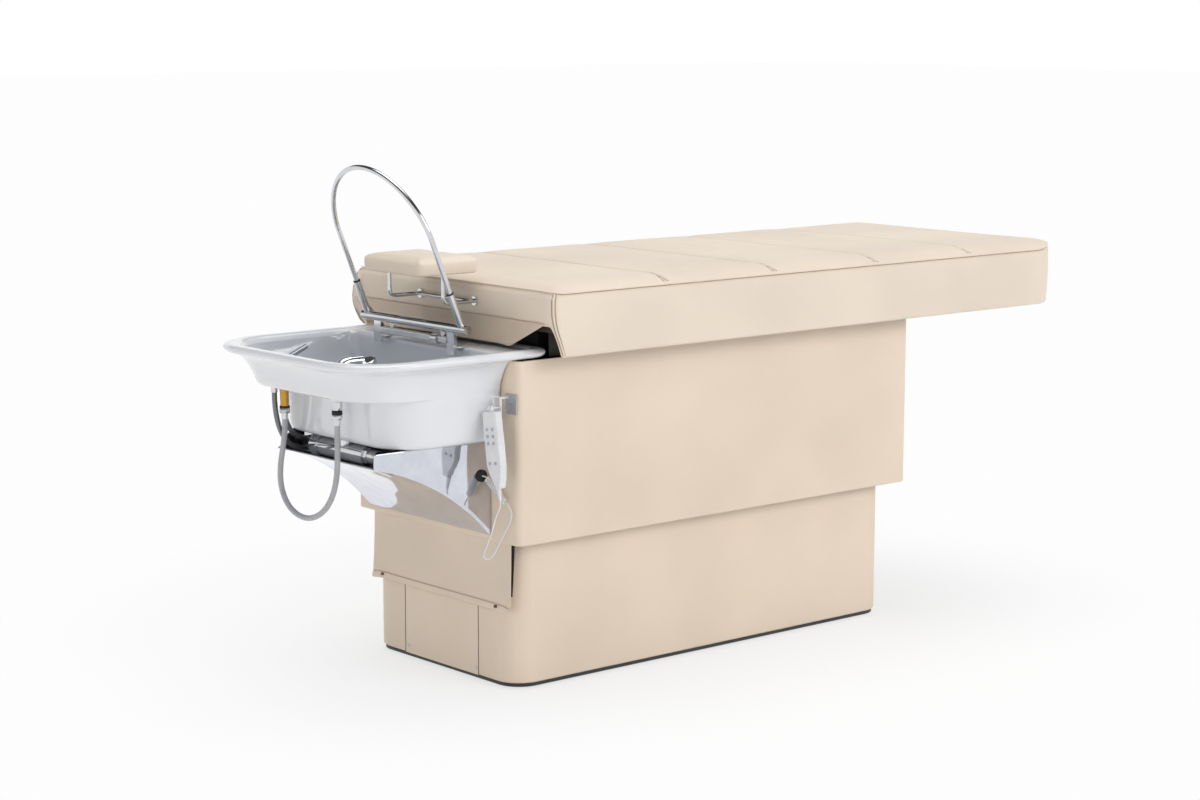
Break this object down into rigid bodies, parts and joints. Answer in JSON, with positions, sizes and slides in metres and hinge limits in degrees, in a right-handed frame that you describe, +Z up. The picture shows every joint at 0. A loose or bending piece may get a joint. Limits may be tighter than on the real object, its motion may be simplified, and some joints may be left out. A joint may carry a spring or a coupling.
{
  "type": "hair washing bed",
  "caption": "Height adjustable hair washing bed with a leather mattress, a ceramic bowl, a tilting shower arch and a wired handset.",
  "frame": {"origin": "on the floor below the middle of the bed's length and width", "axes": "+X points from the bowl to the foot end, +Y away from the pictured side, +Z up"},
  "size_m": [2.04, 0.7, 1.0936],
  "materials": {
    "beige_leather": "satin embossed upholstery leatherette, warm beige",
    "cream_leather": "satin upholstery leatherette, pale cream",
    "white_ceramic": "white glazed ceramic, high gloss",
    "polished_steel": "stainless sheet polished to a mirror",
    "chrome": "bright chrome plating",
    "bright_steel": "plain stainless or zinc plated steel",
    "black_steel": "black powder coat",
    "black_rubber": "matt black rubber",
    "black_plastic": "matt black plastic",
    "white_plastic": "white satin plastic",
    "grey_buttons": "grey soft keys",
    "white_cord": "white cable sheath",
    "grey_hose": "braided grey hose",
    "dark_hose": "dark reinforced supply hose",
    "brass": "plain turned brass",
    "plywood": "birch plywood"
  },
  "bodies": {
    "base": {"floor_glides": "black_rubber", "base_plate": "black_steel", "base_casing": "beige_leather", "access_panel": "beige_leather", "access_panel_screws": "bright_steel", "columns_outer": "black_steel", "control_box": "black_plastic"},
    "upper": {"apron_snaps": "bright_steel", "arch_posts": "chrome", "bowl": "white_ceramic", "bowl_brackets": "bright_steel", "bowl_cowl": "polished_steel", "clamp_screws": "chrome", "columns_inner": "bright_steel", "cord_grommet": "black_rubber", "curly_cord": "white_cord", "drain_strainer": "chrome", "drain_trap": "chrome", "head_flap": "beige_leather", "headrest_sockets": "chrome", "hose_ferrules": "chrome", "lower_apron": "beige_leather", "lower_rail": "chrome", "mattress_cushion": "cream_leather", "mattress_deck": "plywood", "mattress_valance": "cream_leather", "mixer_body": "chrome", "mixer_shank": "brass", "pivot_bar": "chrome", "rail_knob": "chrome", "remote_bracket": "bright_steel", "remote_hook": "white_plastic", "remote_relief": "white_plastic", "remote_shell": "white_plastic", "shower_guide": "chrome", "shower_hose": "grey_hose", "skirt_casing": "beige_leather", "stop_valve": "chrome", "straight_cord": "white_cord", "supply_hose_cold": "dark_hose", "supply_hose_hot": "dark_hose", "trap_cap": "chrome", "upper_frame": "black_steel"},
    "headrest": {"headrest_rods": "chrome", "headrest_board": "black_plastic", "headrest_cushion": "cream_leather"},
    "arch": {"arch_sleeves": "chrome", "arch_tube": "chrome", "arch_seals": "black_rubber"},
    "mixer_cap": {"mixer_cap": "chrome"},
    "mixer_lever": {"mixer_lever": "chrome"},
    "hand_shower": {"hand_shower": "chrome"},
    "remote_button_1": {"remote_button_1": "grey_buttons"},
    "remote_button_2": {"remote_button_2": "grey_buttons"},
    "remote_button_3": {"remote_button_3": "grey_buttons"},
    "remote_button_4": {"remote_button_4": "grey_buttons"},
    "remote_button_5": {"remote_button_5": "grey_buttons"},
    "remote_button_6": {"remote_button_6": "grey_buttons"},
    "remote_button_7": {"remote_button_7": "grey_buttons"},
    "remote_button_8": {"remote_button_8": "grey_buttons"}
  },
  "joints": [
    {"name": "lift", "type": "slide", "parent": "base", "child": "upper", "axis": [0, 0, 1], "range_m": [-0.15, 0.05]},
    {"name": "headrest_slide", "type": "slide", "parent": "upper", "child": "headrest", "axis": [1, 0, 0], "range_m": [-0.08, 0]},
    {"name": "arch_tilt", "type": "hinge", "parent": "upper", "child": "arch", "pos_m": [-0.667, 0, 0.759], "axis": [0, 1, 0], "range_deg": [-64, 35]},
    {"name": "mixer_turn", "type": "hinge", "parent": "upper", "child": "mixer_cap", "pos_m": [-0.92, 0.113, 0.677], "axis": [0, 0, 1], "range_deg": [-45, 45]},
    {"name": "lever_lift", "type": "hinge", "parent": "mixer_cap", "child": "mixer_lever", "pos_m": [-0.9095, 0.113, 0.6933], "axis": [0, -1, 0], "range_deg": [0, 25]},
    {"name": "hand_shower_lift", "type": "slide", "parent": "upper", "child": "hand_shower", "axis": [0, 0, 1], "range_m": [0, 0.04]},
    {"name": "button_1", "type": "slide", "parent": "upper", "child": "remote_button_1", "axis": [1, 0, 0], "range_m": [0, 0.001], "stiffness_N_per_m": 400},
    {"name": "button_2", "type": "slide", "parent": "upper", "child": "remote_button_2", "axis": [1, 0, 0], "range_m": [0, 0.001], "stiffness_N_per_m": 400},
    {"name": "button_3", "type": "slide", "parent": "upper", "child": "remote_button_3", "axis": [1, 0, 0], "range_m": [0, 0.001], "stiffness_N_per_m": 400},
    {"name": "button_4", "type": "slide", "parent": "upper", "child": "remote_button_4", "axis": [1, 0, 0], "range_m": [0, 0.001], "stiffness_N_per_m": 400},
    {"name": "button_5", "type": "slide", "parent": "upper", "child": "remote_button_5", "axis": [1, 0, 0], "range_m": [0, 0.001], "stiffness_N_per_m": 400},
    {"name": "button_6", "type": "slide", "parent": "upper", "child": "remote_button_6", "axis": [1, 0, 0], "range_m": [0, 0.001], "stiffness_N_per_m": 400},
    {"name": "button_7", "type": "slide", "parent": "upper", "child": "remote_button_7", "axis": [1, 0, 0], "range_m": [0, 0.001], "stiffness_N_per_m": 400},
    {"name": "button_8", "type": "slide", "parent": "upper", "child": "remote_button_8", "axis": [1, 0, 0], "range_m": [0, 0.001], "stiffness_N_per_m": 400}
  ]
}
